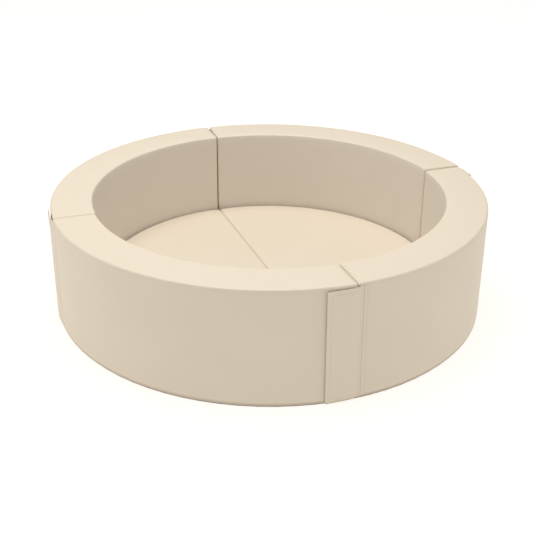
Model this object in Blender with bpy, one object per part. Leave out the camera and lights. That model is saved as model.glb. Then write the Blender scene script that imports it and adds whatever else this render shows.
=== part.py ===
"""Round ball pit for small children.

Four foam wall segments, each a quarter of the ring in its own vinyl cover, close into a
ring with hook-and-loop flaps. A thick floor mat in two half discs lies inside and folds
over the seam that joins its halves. Every cover zips open underneath.

Frame: +Z is up and the origin is the middle of the ring on the floor. The mat's seam runs
along Y, and the four joints between the segments lie on the X and Y axes.
"""

import math

import bmesh
import bpy
from mathutils import Matrix, Vector

MM = 0.001

# Ring of wall segments
OUTER_RADIUS = 725 * MM
WALL_DEPTH = 136 * MM
WALL_HEIGHT = 381 * MM
JOINT_GAP = 2 * MM
SEGMENTS = ("back_right", "back_left", "front_left", "front_right")
FACETS_PER_SEGMENT = 20

# Sheet goods, and the gap left between pieces that touch
VINYL = 1.0 * MM
BASE_THICKNESS = 1.6 * MM
SEAT_GAP = 0.3 * MM

# Covers
WALL_ROUND = 9 * MM
FOOT_ROUND = 4 * MM
HEM = 14 * MM
BASE_INSET = 5 * MM
ROUND_STEPS = 2
FOOT_STEPS = 1

# Flap that closes a joint, measured along the outer wall from the joint
FLAP_THICKNESS = 2.4 * MM
FLAP_REACH = 88 * MM
FLAP_ROOT = 18 * MM
FLAP_BELOW_TOP = 13 * MM
FLAP_ABOVE_FLOOR = 6 * MM
FLAP_SEAM_WIDTH = 15 * MM

# Hook strip behind the flap, and loop strip on the wall under it
HOOK_THICKNESS = 1.4 * MM
HOOK_WIDTH = 50 * MM
HOOK_MARGIN = 12 * MM
LOOP_THICKNESS = 1.2 * MM
LOOP_OVERLAP = 5 * MM

# Zips, all alike in section
TAPE_WIDTH = 32 * MM
TAPE_THICKNESS = 0.6 * MM
CHAIN_WIDTH = 5 * MM
CHAIN_THICKNESS = 1.5 * MM
ZIP_SLOT_WIDTH = 14 * MM
WALL_ZIP_MARGIN = 95 * MM
MAT_ZIP_LENGTH = 800 * MM
MAT_ZIP_OFFSET = 60 * MM

# Zip slider: a shoe with a hole for the hook that moves it
SLIDER_LENGTH = 16 * MM
SLIDER_PLATE = 0.8 * MM
SLIDER_CHEEK = 1.2 * MM
SLIDER_PLAY = 0.8 * MM
SLIDER_HOLE_RADIUS = 1.8 * MM
SLIDER_HOLE_SIDES = 12

# Floor mat
MAT_CLEARANCE = 10 * MM
MAT_HEIGHT = 86 * MM
MAT_CROWN = 3 * MM
MAT_SPLIT = 3 * MM
MAT_ROUND = 16 * MM
MAT_CORNER = 30 * MM
MAT_FACETS = 64
CORNER_STEPS = 4
FOLDED_GAP = 3 * MM
SEAM_DEPTH = 18 * MM
SEAM_THICKNESS = 1.8 * MM
SEAM_BELOW_TOP = 8 * MM

# How the mat's top swells: each step's plan size and rise
CROWN_SHARES = ((0.93, 0.45), (0.82, 0.8), (0.62, 1.0))

OVERRUN = 20 * MM  # how far a cutter runs past what it cuts
SHARP = math.radians(30)
PLANE_TOLERANCE = 0.0001 * MM

# Sizes that follow from those above
SEGMENT_ANGLE = 2 * math.pi / len(SEGMENTS)
FACET = SEGMENT_ANGLE / FACETS_PER_SEGMENT
INNER_RADIUS = OUTER_RADIUS - WALL_DEPTH
MAT_RADIUS = INNER_RADIUS - MAT_CLEARANCE
COVER_FLOOR = BASE_THICKNESS + SEAT_GAP
FOAM_FLOOR = COVER_FLOOR + VINYL + SEAT_GAP
LOOP_RADIUS = OUTER_RADIUS + SEAT_GAP
HOOK_RADIUS = LOOP_RADIUS + LOOP_THICKNESS + SEAT_GAP
FLAP_RADIUS = HOOK_RADIUS + HOOK_THICKNESS + SEAT_GAP
FLAP_ROOT_RADIUS = OUTER_RADIUS + SEAT_GAP
FLAP_TOP = WALL_HEIGHT - FLAP_BELOW_TOP
FLAP_ROOT_ANGLE = FLAP_ROOT / OUTER_RADIUS
FLAP_END_ANGLE = -FLAP_REACH / OUTER_RADIUS
ZIP_RADIUS = INNER_RADIUS + WALL_DEPTH / 2
WALL_ZIP_START = WALL_ZIP_MARGIN / ZIP_RADIUS
WALL_ZIP_END = SEGMENT_ANGLE - WALL_ZIP_START
TAPE_FLOOR = BASE_THICKNESS + SEAT_GAP
CHAIN_FLOOR = TAPE_FLOOR + (TAPE_THICKNESS - CHAIN_THICKNESS) / 2
SLIDER_FLOOR = CHAIN_FLOOR - SEAT_GAP - SLIDER_PLATE
SLIDER_WIDTH = CHAIN_WIDTH + 2 * (SLIDER_PLAY + SLIDER_CHEEK)
FOLD_HEIGHT = MAT_HEIGHT + MAT_CROWN + FOLDED_GAP / 2

VINYL_CREAM = ("vinyl_cream", (0.83, 0.74, 0.60), 0.42, 0.0)
FOAM_YELLOW = ("foam_pale_yellow", (0.87, 0.79, 0.52), 0.95, 0.0)
BASE_GREY = ("nonslip_base_grey", (0.30, 0.28, 0.26), 0.85, 0.0)
TAPE_BEIGE = ("tape_beige", (0.70, 0.61, 0.48), 0.85, 0.0)
ZIP_METAL = ("zip_metal", (0.62, 0.60, 0.56), 0.35, 0.9)


def clear_scene():
    """Remove whatever the scene holds."""
    for obj in list(bpy.data.objects):
        bpy.data.objects.remove(obj)


def finish(recipe):
    """The material for a (name, colour, roughness, metallic) recipe, made once."""
    name, colour, roughness, metallic = recipe
    material = bpy.data.materials.get(name) or bpy.data.materials.new(name)
    material.use_nodes = True
    material.diffuse_color = (*colour, 1.0)
    shader = material.node_tree.nodes["Principled BSDF"]
    shader.inputs["Base Color"].default_value = (*colour, 1.0)
    shader.inputs["Roughness"].default_value = roughness
    shader.inputs["Metallic"].default_value = metallic
    return material


def ring_point(radius, angle, z):
    """A point of the many-sided ring whose corners lie on the circle of this radius.

    Every curved layer follows the same sides, so layers stay parallel at any facet size.
    """
    past_middle = angle % FACET - FACET / 2
    reach = radius * math.cos(FACET / 2) / math.cos(past_middle)
    return Vector((reach * math.cos(angle), reach * math.sin(angle), z))


def cut_off(bm, on_plane, outward):
    """Cut away what lies past a plane and close the cut."""
    bmesh.ops.bisect_plane(
        bm,
        geom=[*bm.verts, *bm.edges, *bm.faces],
        dist=PLANE_TOLERANCE,
        plane_co=on_plane,
        plane_no=outward,
        clear_outer=True,
    )
    bmesh.ops.holes_fill(bm, edges=[edge for edge in bm.edges if edge.is_boundary])


def ring_piece(profile, start, end, end_inset=0.0):
    """Sweep a closed (radius, z) profile round the ring from start to end.

    Both ends are flat, each end_inset short of the radial plane at its angle.
    """
    first = math.floor(start / FACET) - 1
    facets = math.ceil(end / FACET) + 1 - first
    bm = bmesh.new()
    corners = [bm.verts.new(ring_point(radius, first * FACET, z)) for radius, z in profile]
    sides = [bm.edges.new(pair) for pair in zip(corners, corners[1:] + corners[:1])]
    bmesh.ops.spin(
        bm,
        geom=[*corners, *sides],
        cent=(0, 0, 0),
        axis=(0, 0, 1),
        angle=facets * FACET,
        steps=facets,
    )
    for angle, outward in ((start, -1), (end, 1)):
        across = outward * Vector((-math.sin(angle), math.cos(angle), 0))
        cut_off(bm, -end_inset * across, across)
    bmesh.ops.recalc_face_normals(bm, faces=bm.faces)
    return bm


def band(inner, outer, low, high):
    """The corners of an upright rectangle in a (radius, z) profile."""
    return [(inner, low), (outer, low), (outer, high), (inner, high)]


def bar(outline, start, end):
    """A straight bar along Y whose (x, z) outline is given."""
    bm = bmesh.new()
    face = bm.faces.new([bm.verts.new((x, start, z)) for x, z in outline])
    grown = bmesh.ops.extrude_face_region(bm, geom=[face])["geom"]
    moved = [item for item in grown if isinstance(item, bmesh.types.BMVert)]
    bmesh.ops.translate(bm, verts=moved, vec=(0, end - start, 0))
    bmesh.ops.recalc_face_normals(bm, faces=bm.faces)
    return bm


def sharp_edges(bm, wanted):
    """Sharp edges whose (lower, upper) end heights pass the test."""
    return [
        edge
        for edge in bm.edges
        if edge.calc_face_angle(0) > SHARP and wanted(*sorted(vert.co.z for vert in edge.verts))
    ]


def round_over(bm, edges, radius, steps):
    """Round these edges."""
    bmesh.ops.bevel(
        bm,
        geom=edges,
        offset=radius,
        offset_type="OFFSET",
        segments=steps,
        profile=0.5,
        affect="EDGES",
        clamp_overlap=True,
        material=-1,
    )


def round_cover(bm, floor, height, upper_radius, lower_radius):
    """Round an upholstered block: its top and upright edges, then its bottom edges."""
    middle = (floor + height) / 2
    upper = sharp_edges(bm, lambda low, high: high > middle)
    round_over(bm, upper, upper_radius, ROUND_STEPS)
    lower = sharp_edges(bm, lambda low, high: high < middle)
    round_over(bm, lower, lower_radius, FOOT_STEPS)


def mesh_from(bm, name):
    """Turn a bmesh into a mesh."""
    mesh = bpy.data.meshes.new(name)
    bm.to_mesh(mesh)
    bm.free()
    return mesh


def cut_mesh(name, body, *cutters):
    """The mesh of a body with every cutter taken away from it."""
    scene = bpy.context.scene.collection
    shapes = [bpy.data.objects.new("shape", mesh_from(bm, "shape")) for bm in (body, *cutters)]
    for shape in shapes:
        scene.objects.link(shape)
    for cutter in shapes[1:]:
        step = shapes[0].modifiers.new("cut", "BOOLEAN")
        step.operation = "DIFFERENCE"
        step.solver = "EXACT"
        step.object = cutter
    graph = bpy.context.evaluated_depsgraph_get()
    mesh = bpy.data.meshes.new_from_object(shapes[0].evaluated_get(graph))
    mesh.name = name
    for shape in shapes:
        bpy.data.objects.remove(shape)
    return mesh


def carriage(name, parent=None, location=(0, 0, 0), turn=0.0):
    """An empty that carries pieces which move together."""
    empty = bpy.data.objects.new(name, None)
    bpy.context.scene.collection.objects.link(empty)
    empty.parent = parent
    empty.location = location
    empty.rotation_euler.z = turn
    return empty


def place(name, mesh, recipe, parent, pivot=(0, 0, 0)):
    """Hang a node on a carriage that stands at pivot in the frame its mesh is drawn in."""
    obj = bpy.data.objects.new(name, mesh)
    bpy.context.scene.collection.objects.link(obj)
    if not mesh.materials:
        mesh.materials.append(finish(recipe))
    obj.parent = parent
    obj.location = -Vector(pivot)
    return obj


def wall_block(skin, floor):
    """A wall segment shrunk by skin on every side but its floor."""
    inner = INNER_RADIUS + skin
    outer = OUTER_RADIUS - skin
    top = WALL_HEIGHT - skin
    bm = ring_piece(band(inner, outer, floor, top), 0, SEGMENT_ANGLE, JOINT_GAP / 2 + skin)
    round_cover(bm, floor, top, WALL_ROUND - skin, FOOT_ROUND - skin)
    return bm


def wall_cover():
    """Vinyl cover of a segment, open underneath inside its turned-in hem."""
    hole = band(INNER_RADIUS + HEM, OUTER_RADIUS - HEM, -OVERRUN, FOAM_FLOOR + OVERRUN)
    return cut_mesh(
        "wall_cover",
        wall_block(0, COVER_FLOOR),
        wall_block(VINYL, COVER_FLOOR + VINYL),
        ring_piece(hole, 0, SEGMENT_ANGLE, JOINT_GAP / 2 + HEM),
    )


def wall_base():
    """Non-slip bottom of a segment with the slot that its zip closes."""
    panel = band(INNER_RADIUS + BASE_INSET, OUTER_RADIUS - BASE_INSET, 0, BASE_THICKNESS)
    half_slot = ZIP_SLOT_WIDTH / 2
    slot = band(ZIP_RADIUS - half_slot, ZIP_RADIUS + half_slot, -OVERRUN, OVERRUN)
    return cut_mesh(
        "wall_base",
        ring_piece(panel, 0, SEGMENT_ANGLE, JOINT_GAP / 2 + BASE_INSET),
        ring_piece(slot, WALL_ZIP_START, WALL_ZIP_END),
    )


def zip_section(middle):
    """Outline of a closed zip: two tapes with the chain standing proud between them."""
    tape_low, tape_high = TAPE_FLOOR, TAPE_FLOOR + TAPE_THICKNESS
    chain_low, chain_high = CHAIN_FLOOR, CHAIN_FLOOR + CHAIN_THICKNESS
    half_tape, half_chain = TAPE_WIDTH / 2, CHAIN_WIDTH / 2
    return [
        (middle - half_tape, tape_low),
        (middle - half_chain, tape_low),
        (middle - half_chain, chain_low),
        (middle + half_chain, chain_low),
        (middle + half_chain, tape_low),
        (middle + half_tape, tape_low),
        (middle + half_tape, tape_high),
        (middle + half_chain, tape_high),
        (middle + half_chain, chain_high),
        (middle - half_chain, chain_high),
        (middle - half_chain, tape_high),
        (middle - half_tape, tape_high),
    ]


def slider(middle):
    """Zip slider: a shoe round the underside of the chain, running along Y."""
    plate_top = SLIDER_FLOOR + SLIDER_PLATE
    cheek_top = TAPE_FLOOR - SEAT_GAP
    half_width, half_length = SLIDER_WIDTH / 2, SLIDER_LENGTH / 2
    half_room = half_width - SLIDER_CHEEK
    shoe = [
        (middle - half_width, SLIDER_FLOOR),
        (middle + half_width, SLIDER_FLOOR),
        (middle + half_width, cheek_top),
        (middle + half_room, cheek_top),
        (middle + half_room, plate_top),
        (middle - half_room, plate_top),
        (middle - half_room, cheek_top),
        (middle - half_width, cheek_top),
    ]
    hole = bmesh.new()
    bmesh.ops.create_cone(
        hole,
        cap_ends=True,
        segments=SLIDER_HOLE_SIDES,
        radius1=SLIDER_HOLE_RADIUS,
        radius2=SLIDER_HOLE_RADIUS,
        depth=OVERRUN,
    )
    bmesh.ops.translate(hole, verts=hole.verts, vec=(middle, 0, 0))
    return cut_mesh("slider", bar(shoe, -half_length, half_length), hole)


def flap():
    """Closing flap: it lies on its own wall at the root and climbs over the strips."""
    panel = band(FLAP_RADIUS, FLAP_RADIUS + FLAP_THICKNESS, FLAP_ABOVE_FLOOR, FLAP_TOP)
    bm = ring_piece(panel, FLAP_END_ANGLE, FLAP_ROOT_ANGLE)
    for vert in bm.verts:
        share = max(0.0, math.atan2(vert.co.y, vert.co.x) / FLAP_ROOT_ANGLE)
        radial = Vector((vert.co.x, vert.co.y, 0)).normalized()
        vert.co -= share * (FLAP_RADIUS - FLAP_ROOT_RADIUS) * radial
    return mesh_from(bm, "flap")


def flap_seam():
    """Sewn margin that holds the flap's root to the cover."""
    start = FLAP_ROOT_ANGLE + SEAT_GAP / OUTER_RADIUS
    width = FLAP_SEAM_WIDTH / OUTER_RADIUS
    strip = band(FLAP_ROOT_RADIUS, FLAP_ROOT_RADIUS + VINYL, FLAP_ABOVE_FLOOR, FLAP_TOP)
    return mesh_from(ring_piece(strip, start, start + width), "flap_seam")


def hook_strip():
    """Hook strip sewn behind the flap."""
    start = (HOOK_MARGIN - FLAP_REACH) / OUTER_RADIUS
    width = HOOK_WIDTH / OUTER_RADIUS
    low, high = FLAP_ABOVE_FLOOR + HOOK_MARGIN, FLAP_TOP - HOOK_MARGIN
    strip = band(HOOK_RADIUS, HOOK_RADIUS + HOOK_THICKNESS, low, high)
    return mesh_from(ring_piece(strip, start, start + width), "hook_strip")


def loop_strip():
    """Loop strip sewn to the far end of a segment's wall, a little larger than the hooks."""
    start = SEGMENT_ANGLE + (HOOK_MARGIN - FLAP_REACH - LOOP_OVERLAP) / OUTER_RADIUS
    width = (HOOK_WIDTH + 2 * LOOP_OVERLAP) / OUTER_RADIUS
    low = FLAP_ABOVE_FLOOR + HOOK_MARGIN - LOOP_OVERLAP
    high = FLAP_TOP - HOOK_MARGIN + LOOP_OVERLAP
    strip = band(LOOP_RADIUS, LOOP_RADIUS + LOOP_THICKNESS, low, high)
    return mesh_from(ring_piece(strip, start, start + width), "loop_strip")


def flap_axis():
    """Where the flap folds: over its sewn line, between the margin and the flap's outer face.

    Folded right back, the flap then lies twice the seat gap clear of its sewn margin.
    """
    margin_top = FLAP_ROOT_RADIUS + VINYL
    flap_face = FLAP_RADIUS + FLAP_THICKNESS
    return ring_point((margin_top + flap_face) / 2 + SEAT_GAP, FLAP_ROOT_ANGLE, 0)


def half_disc(inset, floor, top):
    """The +X half of the mat's disc as a plain block, inset at its sides."""
    bm = bmesh.new()
    bmesh.ops.create_circle(bm, cap_ends=True, segments=MAT_FACETS, radius=MAT_RADIUS - inset)
    bmesh.ops.translate(bm, verts=bm.verts, vec=(0, 0, floor))
    grown = bmesh.ops.extrude_face_region(bm, geom=bm.faces[:])["geom"]
    moved = [item for item in grown if isinstance(item, bmesh.types.BMVert)]
    bmesh.ops.translate(bm, verts=moved, vec=(0, 0, top - floor))
    cut_off(bm, Vector((MAT_SPLIT / 2 + inset, 0, 0)), Vector((-1, 0, 0)))
    bmesh.ops.recalc_face_normals(bm, faces=bm.faces)
    corners = sharp_edges(bm, lambda low, high: low < high)
    round_over(bm, corners, MAT_CORNER - inset, CORNER_STEPS)
    return bm


def mat_block(skin, floor):
    """Half of the mat shrunk by skin: rounded edges and a top that swells to its middle."""
    top = MAT_HEIGHT - skin
    bm = half_disc(skin, floor, top)
    round_cover(bm, floor, top, MAT_ROUND - skin, FOOT_ROUND - skin)
    face = max(bm.faces, key=lambda face: face.calc_center_median().z * face.calc_area())
    middle = face.calc_center_median_weighted()
    size, height = 1.0, 0.0
    for size_share, rise_share in CROWN_SHARES:
        face = bmesh.ops.extrude_discrete_faces(bm, faces=[face])["faces"][0]
        step = size_share / size
        rise = rise_share * MAT_CROWN - height
        centred = Matrix.Translation(-middle)
        bmesh.ops.scale(bm, verts=face.verts, vec=(step, step, 1), space=centred)
        bmesh.ops.translate(bm, verts=face.verts, vec=(0, 0, rise))
        size, height = size_share, height + rise
    return bm


def mat_cover():
    """Vinyl cover of a mat half, open underneath inside its turned-in hem."""
    return cut_mesh(
        "mat_cover",
        mat_block(0, COVER_FLOOR),
        mat_block(VINYL, COVER_FLOOR + VINYL),
        half_disc(HEM, -OVERRUN, FOAM_FLOOR + OVERRUN),
    )


def mat_base():
    """Non-slip bottom of a mat half with a straight slot for its zip."""
    half_slot, half_length = ZIP_SLOT_WIDTH / 2, MAT_ZIP_LENGTH / 2
    slot = band(MAT_ZIP_OFFSET - half_slot, MAT_ZIP_OFFSET + half_slot, -OVERRUN, OVERRUN)
    return cut_mesh(
        "mat_base",
        half_disc(BASE_INSET, 0, BASE_THICKNESS),
        bar(slot, -half_length, half_length),
    )


def mat_seam():
    """Welt of the seam that joins the two covers, standing between the halves."""
    half = SEAM_THICKNESS / 2
    top = MAT_HEIGHT - SEAM_BELOW_TOP
    half_length = MAT_RADIUS - MAT_CORNER
    outline = band(-half, half, top - SEAM_DEPTH, top)
    return mesh_from(bar(outline, -half_length, half_length), "mat_seam")


def build_segments():
    """The four wall segments, each on its own carriage, with flap and zip slider."""
    foam = mesh_from(wall_block(VINYL + SEAT_GAP, FOAM_FLOOR), "wall_foam")
    cover = wall_cover()
    base = wall_base()
    clearance = SEAT_GAP / ZIP_RADIUS
    zip_start, zip_end = WALL_ZIP_START + clearance, WALL_ZIP_END - clearance
    wall_zip = mesh_from(ring_piece(zip_section(ZIP_RADIUS), zip_start, zip_end), "wall_zip")
    wall_slider = slider(ZIP_RADIUS)
    wall_slider.transform(Matrix.Rotation(WALL_ZIP_START + SLIDER_LENGTH / ZIP_RADIUS, 4, "Z"))
    flap_mesh, seam, hook, loop = flap(), flap_seam(), hook_strip(), loop_strip()
    pivot = flap_axis()
    for number, name in enumerate(SEGMENTS):
        segment = carriage(f"{name}_segment", turn=number * SEGMENT_ANGLE)
        place(f"{name}_foam_core", foam, FOAM_YELLOW, segment)
        place(f"{name}_cover", cover, VINYL_CREAM, segment)
        place(f"{name}_base_panel", base, BASE_GREY, segment)
        place(f"{name}_zip", wall_zip, TAPE_BEIGE, segment)
        place(f"{name}_loop_strip", loop, TAPE_BEIGE, segment)
        place(f"{name}_flap_seam", seam, VINYL_CREAM, segment)
        hinge = carriage(f"{name}_flap_hinge", segment, pivot)
        place(f"{name}_flap", flap_mesh, VINYL_CREAM, hinge, pivot)
        place(f"{name}_hook_strip", hook, TAPE_BEIGE, hinge, pivot)
        track = carriage(f"{name}_zip_track", segment)
        place(f"{name}_zip_slider", wall_slider, ZIP_METAL, track)


def build_mat():
    """The two halves of the floor mat and the seam between them."""
    foam = mesh_from(mat_block(VINYL + SEAT_GAP, FOAM_FLOOR), "mat_foam")
    cover = mat_cover()
    base = mat_base()
    zip_end = MAT_ZIP_LENGTH / 2 - SEAT_GAP
    mat_zip = mesh_from(bar(zip_section(MAT_ZIP_OFFSET), -zip_end, zip_end), "mat_zip")
    mat_slider = slider(MAT_ZIP_OFFSET)
    mat_slider.transform(Matrix.Translation((0, SLIDER_LENGTH - zip_end, 0)))
    fold_line = Vector((0, 0, FOLD_HEIGHT))
    halves = {
        "mat_right": (carriage("mat_right_half", location=fold_line), fold_line),
        "mat_left": (carriage("mat_left_half", turn=math.pi), Vector()),
    }
    for name, (half, pivot) in halves.items():
        place(f"{name}_foam_core", foam, FOAM_YELLOW, half, pivot)
        place(f"{name}_cover", cover, VINYL_CREAM, half, pivot)
        place(f"{name}_base_panel", base, BASE_GREY, half, pivot)
        place(f"{name}_zip", mat_zip, TAPE_BEIGE, half, pivot)
        track = carriage(f"{name}_zip_track", half, -pivot)
        place(f"{name}_zip_slider", mat_slider, ZIP_METAL, track)
    place("mat_hinge_seam", mat_seam(), VINYL_CREAM, carriage("mat_seam_line"))


def main():
    """Build the whole ball pit."""
    clear_scene()
    build_segments()
    build_mat()


main()
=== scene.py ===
"""Looks of a round ball pit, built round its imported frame.

Four foam wall segments in faux leather covers stand in a ring, with a flap over each joint,
round a floor mat that folds over the seam between its halves. Sizes are in metres, in the
frame's own axes: +Z is up and the origin is the middle of the ring on the floor.
"""

import logging
import math
from dataclasses import dataclass
from enum import Enum
from typing import Callable, Optional

import bmesh
import bpy
import numpy as np
from mathutils import Matrix, Vector, noise


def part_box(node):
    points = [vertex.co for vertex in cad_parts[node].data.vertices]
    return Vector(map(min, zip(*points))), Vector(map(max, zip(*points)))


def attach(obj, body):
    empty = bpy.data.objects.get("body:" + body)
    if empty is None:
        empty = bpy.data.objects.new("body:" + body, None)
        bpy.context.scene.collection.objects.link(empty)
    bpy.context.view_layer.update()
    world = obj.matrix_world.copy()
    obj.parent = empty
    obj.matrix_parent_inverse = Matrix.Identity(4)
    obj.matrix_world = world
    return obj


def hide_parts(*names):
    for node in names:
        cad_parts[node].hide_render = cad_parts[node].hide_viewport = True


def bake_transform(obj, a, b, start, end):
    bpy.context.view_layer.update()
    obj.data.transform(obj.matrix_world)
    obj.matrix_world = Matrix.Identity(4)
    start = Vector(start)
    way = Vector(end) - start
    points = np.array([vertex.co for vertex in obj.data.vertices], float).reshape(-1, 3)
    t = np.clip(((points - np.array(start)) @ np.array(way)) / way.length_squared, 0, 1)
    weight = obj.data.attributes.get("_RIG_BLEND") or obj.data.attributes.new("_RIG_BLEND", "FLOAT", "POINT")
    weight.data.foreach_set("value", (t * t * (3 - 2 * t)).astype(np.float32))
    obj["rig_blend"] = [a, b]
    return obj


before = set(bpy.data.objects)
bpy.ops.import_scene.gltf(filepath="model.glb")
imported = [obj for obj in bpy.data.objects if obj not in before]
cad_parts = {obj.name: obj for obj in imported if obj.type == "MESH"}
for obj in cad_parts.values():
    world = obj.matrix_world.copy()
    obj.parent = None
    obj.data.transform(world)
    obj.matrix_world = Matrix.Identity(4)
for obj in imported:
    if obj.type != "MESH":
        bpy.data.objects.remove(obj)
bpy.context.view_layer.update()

MM = 0.001
# Share of seam at each point: it presses the seam in and darkens the leather there as painted shade; at the
# feet it is a painted contact shadow.
SEAM_SHADE_LAYER = "seam"
# Share of inner wall at each point, which takes the painted shading tint.
INNER_SHADE_LAYER = "inner"
NOISE_SPAN = (0.3, 0.7)
FAR_FROM_SEAM = 1.0
MERGE = 0.001 * MM

log = logging.getLogger("ball_pit")

Span = tuple[float, float]
Triple = tuple[float, float, float]
Colour = Triple
Socket = bpy.types.NodeSocket


class Slot(Enum):
    """The record's material slots."""

    VINYL = "vinyl"
    FOAM = "foam"
    BASE = "base"
    TAPE = "tape"
    LOOPS = "loop_tape"
    HOOKS = "hook_tape"
    METAL = "slider_metal"


class Quarter(Enum):
    """The four wall segments, by the quarter turn at which each starts."""

    BACK_RIGHT = 0
    BACK_LEFT = 1
    FRONT_LEFT = 2
    FRONT_RIGHT = 3

    @property
    def title(self) -> str:
        """The name that the frame's nodes and bodies start with."""
        return self.name.lower()

    @property
    def start(self) -> float:
        """The angle of the joint at which the segment starts."""
        return self.value * math.pi / 2


class Half(Enum):
    """The two halves of the floor mat, by the turn that brings the +X half there."""

    RIGHT = 0
    LEFT = 1

    @property
    def title(self) -> str:
        """The name that the frame's nodes and bodies start with."""
        return f"mat_{self.name.lower()}"

    @property
    def turn(self) -> Matrix:
        """The rotation from the +X half to this one."""
        return Matrix.Rotation(self.value * math.pi, 4, "Z")


def eased(value: float) -> float:
    """Ease from 0 to 1 as the value goes from 0 to 1."""
    share = min(1.0, max(0.0, value))
    return share * share * (3 - 2 * share)


def bell(distance: float, width: float) -> float:
    """A smooth bump of height 1 that fades over about its width."""
    return math.exp(-((distance / width) ** 2))


class Recipe:
    """The nodes of one new material, with a short call for each kind that is used."""

    def __init__(self, name: str) -> None:
        """Start a material.

        Args:
            name: The material's name.
        """
        self.material = bpy.data.materials.new(name)
        self.material.use_nodes = True
        self.nodes = self.material.node_tree.nodes
        self.links = self.material.node_tree.links
        self.shader = self.nodes["Principled BSDF"]
        self.place = self.nodes.new("ShaderNodeTexCoord").outputs["Object"]

    def put(self, socket: Socket, value: object) -> None:
        """Link an output to a socket, or set the socket's own value.

        Args:
            socket: The socket.
            value: An output, or a plain value.
        """
        if isinstance(value, Socket):
            self.links.new(value, socket)
        else:
            socket.default_value = value

    def stretched(self, scale: Triple) -> Socket:
        """Object coordinates scaled unevenly, for a pattern with a direction.

        Args:
            scale: The scale along each axis.

        Returns:
            The scaled coordinates.
        """
        node = self.nodes.new("ShaderNodeMapping")
        self.put(node.inputs["Vector"], self.place)
        node.inputs["Scale"].default_value = scale
        return node.outputs["Vector"]

    def cloudy(self, size: float, detail: float = 2.0, place: Optional[Socket] = None) -> Socket:
        """Soft noise.

        Args:
            size: Width of its largest patches.
            detail: How many finer layers it has.
            place: Coordinates other than the object's own.

        Returns:
            The noise's value, about 0.3 to 0.7.
        """
        node = self.nodes.new("ShaderNodeTexNoise")
        self.put(node.inputs["Vector"], place or self.place)
        node.inputs["Scale"].default_value = 1 / size
        node.inputs["Detail"].default_value = detail
        return node.outputs["Fac"]

    def cells(self, size: float, scatter: float = 1.0) -> Socket:
        """A pattern of cells.

        Args:
            size: The cells' size.
            scatter: How far they stray from a square grid, 0 to 1.

        Returns:
            The distance to the middle of the nearest cell, as a share of the cells' size.
        """
        node = self.nodes.new("ShaderNodeTexVoronoi")
        self.put(node.inputs["Vector"], self.place)
        node.inputs["Scale"].default_value = 1 / size
        node.inputs["Randomness"].default_value = scatter
        return node.outputs["Distance"]

    def layer(self, name: str) -> Socket:
        """Read a point attribute of the piece.

        Args:
            name: The attribute's name.

        Returns:
            Its value, 0 where the piece doesn't have it.
        """
        node = self.nodes.new("ShaderNodeAttribute")
        node.attribute_name = name
        return node.outputs["Fac"]

    def ranged(self, value: Socket, span: Span, to: Span = (0.0, 1.0)) -> Socket:
        """Carry a value from one range to another, held at its ends.

        Args:
            value: The value.
            span: The range that it has.
            to: The range that it gets.

        Returns:
            The carried value.
        """
        node = self.nodes.new("ShaderNodeMapRange")
        self.put(node.inputs["Value"], value)
        for name, bound in zip(("From Min", "From Max", "To Min", "To Max"), (*span, *to)):
            node.inputs[name].default_value = bound
        return node.outputs["Result"]

    def mixed(self, share: Socket, first: object, second: object) -> Socket:
        """Mix two colours, each a plain colour or an output.

        Args:
            share: How much of the second one there is.
            first: The first colour.
            second: The second colour.

        Returns:
            The mixed colour.
        """
        node = self.nodes.new("ShaderNodeMix")
        node.data_type = "RGBA"
        self.put(node.inputs["Factor"], share)
        sockets = [socket for socket in node.inputs if socket.type == "RGBA"]
        for socket, colour in zip(sockets, (first, second)):
            self.put(socket, (*colour, 1.0) if isinstance(colour, tuple) else colour)
        return next(socket for socket in node.outputs if socket.type == "RGBA")

    def relief(
        self, height: Socket, depth: float, strength: float, over: Optional[Socket] = None
    ) -> Socket:
        """Turn a height into a bumped normal.

        Args:
            height: The height, 0 to 1.
            depth: How far height 1 stands out.
            strength: How much of the effect is kept.
            over: A normal that is bumped already.

        Returns:
            The bumped normal.
        """
        node = self.nodes.new("ShaderNodeBump")
        node.inputs["Strength"].default_value = strength
        node.inputs["Distance"].default_value = depth
        self.put(node.inputs["Height"], height)
        if over is not None:
            self.put(node.inputs["Normal"], over)
        return node.outputs["Normal"]

    def finish(self, **values: object) -> bpy.types.Material:
        """Set the shader's sockets and give the material back.

        Args:
            **values: Each socket's name, in lower case with underscores, and its value.

        Returns:
            The finished material.
        """
        for key, value in values.items():
            socket = self.shader.inputs[key.replace("_", " ").title().replace("Ior", "IOR")]
            self.put(socket, (*value, 1.0) if isinstance(value, tuple) else value)
        return self.material


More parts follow.
